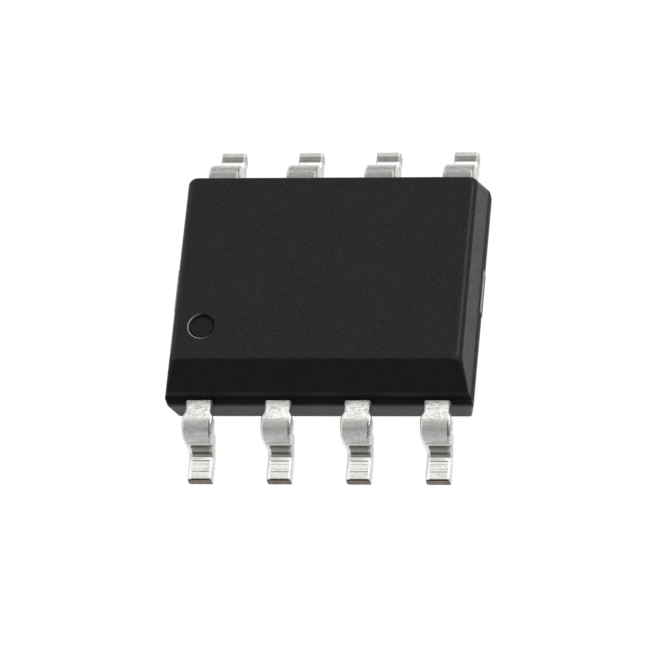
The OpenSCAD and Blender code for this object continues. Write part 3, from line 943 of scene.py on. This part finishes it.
# %% Finishes of the inner pieces
def metal(name, colour, second, size, roughness, metallic=1.0):
    """Metal with two close tones in patches of that size, a fine relief and varied gloss."""
    made, tree, place = new_material(name)
    patch = add(tree, "TexNoise", (place, per_mm(size), 3.0))
    uneven = add(tree, "MapRange", (patch, 0.35, 0.65))
    tone = coats(tree, colour, [([uneven], 1.0, second)])
    rough = add(tree, "MapRange", (patch, 0.3, 0.7, roughness - 0.05, roughness + 0.05))
    return finished(made, {"Base Color": tone, "Metallic": metallic, "Roughness": rough},
                    patch, 0.3, 0.003)


# Flakes of silver in clear epoxy: a pale grey paste with a broken, satin glint
attach = metal("epoxy_silver_filled", "#a9a9a2", "#c2c2bc", 0.02, 0.5, 0.7)
# Silicon polished like a mirror: a dark blue grey with clear reflections
silicon = metal("silicon_polished", "#46505f", "#566275", 0.15, 0.2, 0.6)
# Gold drawn through a die: warm yellow, smooth, with a soft gleam along the wire
gold = metal("gold_wire_drawn", "#d9a441", "#e3b45a", 0.02, 0.25)
print(attach.name, silicon.name, gold.name)

# %% Rolled copper, greyed where it was cut
CUT_DEPTH = (0.02, 0.01)   # the grey begins this deep inside the end walls
CUT_BAND = (0.115, 0.085)  # depth below the leads' top where torn metal turns into sheared


def leadframe_copper():
    """Rolled copper: warm and satin inside, dark grey below and pale above on the bars' cut ends."""
    made, tree, place = new_material("copper_alloy_rolled")
    sideways, level = (add(tree, "SeparateXYZ", (place,), out=axis) for axis in "XZ")
    reach = add(tree, "Math", (sideways,), operation="ABSOLUTE")
    outside = add(tree, "MapRange", (reach, *((half_length - depth)*MM for depth in CUT_DEPTH)))
    sheared = add(tree, "MapRange", (level, *((lead_top - depth)*MM for depth in CUT_BAND)))
    patch = add(tree, "TexNoise", (place, per_mm(0.05), 3.0))
    uneven = add(tree, "MapRange", (patch, 0.35, 0.65))
    cut_end = coats(tree, "#252423", [([uneven], 1.0, "#3a3938"), ([sheared], 1.0, "#8c8987")])
    tone = coats(tree, "#b9794e", [([patch], 1.0, "#c98a60"), ([outside], 1.0, cut_end)])
    rough = add(tree, "MapRange", (patch, 0.3, 0.7, 0.40, 0.52))
    return finished(made, {"Base Color": tone, "Metallic": 0.9, "Roughness": rough},
                    patch, 0.4, 0.003)


inner_finishes = {"die_pad": leadframe_copper(), "die_attach": attach, "die": silicon}
for name, node in frame["nodes"].items():
    if name in inner_finishes or name.startswith("bond_wire"):
        node.data.materials.clear()
        node.data.materials.append(inner_finishes.get(name, gold))
        print(name, "is", node.data.materials[0].name)

# %% [markdown]
# ## The floor
#
# The part stands on a sweep of white paper. A sheet that is only lit would look grey next to the
# white background, so this one also glows, towards the camera and in reflections. That way it
# reads as even white and still takes a faint shadow.

# %% White floor
def white_sweep():
    """White paper, matte: an even pale ground on which a contact shadow stays faint."""
    made, tree, _ = new_material("paper_sweep_white")
    seen, mirrored, through = (
        add(tree, "LightPath", out=ray)
        for ray in ("Is Camera Ray", "Is Glossy Ray", "Is Transmission Ray"))
    reflected = add(tree, "Math", (mirrored, through), operation="MAXIMUM")
    reflected = add(tree, "Math", (reflected, 0.85), operation="MULTIPLY")
    share = add(tree, "Math", (seen, 0.94, reflected), operation="MULTIPLY_ADD")
    paper = add(tree, "BsdfDiffuse", {"Color": "#f6f6f6"})
    glow = add(tree, "Emission", {"Color": "#ffffff", "Strength": 1.04})
    mixed = add(tree, "MixShader", (share, paper, glow))
    add(tree, "OutputMaterial", (mixed,))
    return made


FLOOR_HALF = 400*MM
corners = [(x*FLOOR_HALF, y*FLOOR_HALF, 0) for x, y in ((-1, -1), (1, -1), (1, 1), (-1, 1))]
floor_mesh = bpy.data.meshes.new("floor")
floor_mesh.from_pydata(corners, [], [(0, 1, 2, 3)])
floor_mesh.materials.append(white_sweep())
floor = shown("floor", floor_mesh)
print("floor", round(2*FLOOR_HALF, 3), "m wide")

# %% [markdown]
# ## The surroundings
#
# Plated metal shows mostly what stands round it, and without something dark to reflect its bends
# vanish. So the light is even from all round, with a broad bright bank high at the back, a pale
# wall on the left, and a darker part low in front. It could be a ring of lamps, but a world
# whose level depends on the direction has no seams.

# %% Surroundings
BANK = 1.35  # level of the broad bank of light, high at the back
ROOM = 0.62  # level of the room round it
LEFT = 0.85  # level of the pale wall on the left
DARK = 0.42  # level low in front and on the right, near the horizon

world = bpy.data.worlds.new("soft_studio")
world.use_nodes = True
sky = world.node_tree
sky.nodes.clear()
toward = add(sky, "TexCoord", out="Generated")


def past(height_from, height_to, turn):
    """0 to 1 as a direction swings backwards, over the top, past two angles from the front.

    The dot product with a way square to the middle angle is the sine of how far past it is.
    """
    middle = math.radians((height_from + height_to)/2)
    half = math.radians(height_to - height_from)/2
    way = (0, math.sin(middle)*turn, math.cos(middle)*turn)
    across = add(sky, "VectorMath", (toward, way), operation="DOT_PRODUCT")
    return add(sky, "MapRange", (across, -half, half), **EASED)


sideways, upward = (add(sky, "SeparateXYZ", (toward,), out=axis) for axis in "XZ")
aside = add(sky, "Math", (sideways,), operation="ABSOLUTE")
within, rise, left = (
    add(sky, "MapRange", feeds, **EASED)
    for feeds in ((aside, 0.50, 0.70, 1.0, 0.0), (upward, 0.25, 0.75, DARK, ROOM),
                  (sideways, -0.75, -0.40, 1.0, 0.0)))
bank = add(sky, "Math", (past(55, 80, 1), past(135, 155, -1)), operation="MULTIPLY")
bank = add(sky, "Math", (bank, within), operation="MULTIPLY")
sides = add(sky, "Mix", (left, rise, LEFT))
level = add(sky, "Mix", (bank, sides, BANK))
around = add(sky, "Background", {"Color": "#ffffff", "Strength": level})
plain = add(sky, "Background", {"Color": "#ffffff", "Strength": 1.0})
seen = add(sky, "LightPath", out="Is Camera Ray")
add(sky, "OutputWorld", (add(sky, "MixShader", (seen, around, plain)),))
bpy.context.scene.world = world
print("levels round the part from", DARK, "to", BANK)

# %% [markdown]
# ## Lamp and camera
#
# One soft box stands behind on the right, like a window. The camera stands in front and a little
# to the right, and looks down steeply through a long lens, which keeps the proportions true. It is
# rolled, so that the rows of leads run almost level.

# %% Lamp
def outward(azimuth, elevation):
    """Direction from the part. Azimuth 0 is in front and 90 to the right, in degrees."""
    turn, lift = math.radians(azimuth), math.radians(elevation)
    return Vector((math.sin(turn)*math.cos(lift), -math.cos(turn)*math.cos(lift), math.sin(lift)))


def facing_back(way):
    """Rotation that makes a lamp or camera look along the opposite of way, with its top up."""
    return way.to_track_quat("Z", "Y").to_matrix().to_4x4()


key_way = outward(125, 52)
lamp = bpy.data.lights.new("key_right_rear", "AREA")
lamp.size = 45*MM
lamp.energy = 0.10
key = shown("key_right_rear", lamp)
key.matrix_world = Matrix.Translation(160*MM*key_way) @ facing_back(key_way)
print(key.name, [round(v/MM, 1) for v in key.matrix_world.translation])

# %% Camera
CAMERA_AZIMUTH, CAMERA_ELEVATION, CAMERA_ROLL = 20.68, 59.10, -18.01
CAMERA_PLACE = Vector((19.830, -53.157, 94.848))*MM
lens = bpy.data.cameras.new("camera")
lens.lens = 386.77
lens.sensor_width = 36
lens.clip_start, lens.clip_end = 1*MM, 5.0
camera = shown("camera", lens)
camera.matrix_world = (Matrix.Translation(CAMERA_PLACE)
                       @ facing_back(outward(CAMERA_AZIMUTH, CAMERA_ELEVATION))
                       @ Matrix.Rotation(math.radians(CAMERA_ROLL), 4, "Z"))
bpy.context.scene.camera = camera
bpy.context.scene.view_settings.view_transform = "Standard"
print("camera axes", [[round(v, 4) for v in row] for row in camera.matrix_world.to_3x3()])
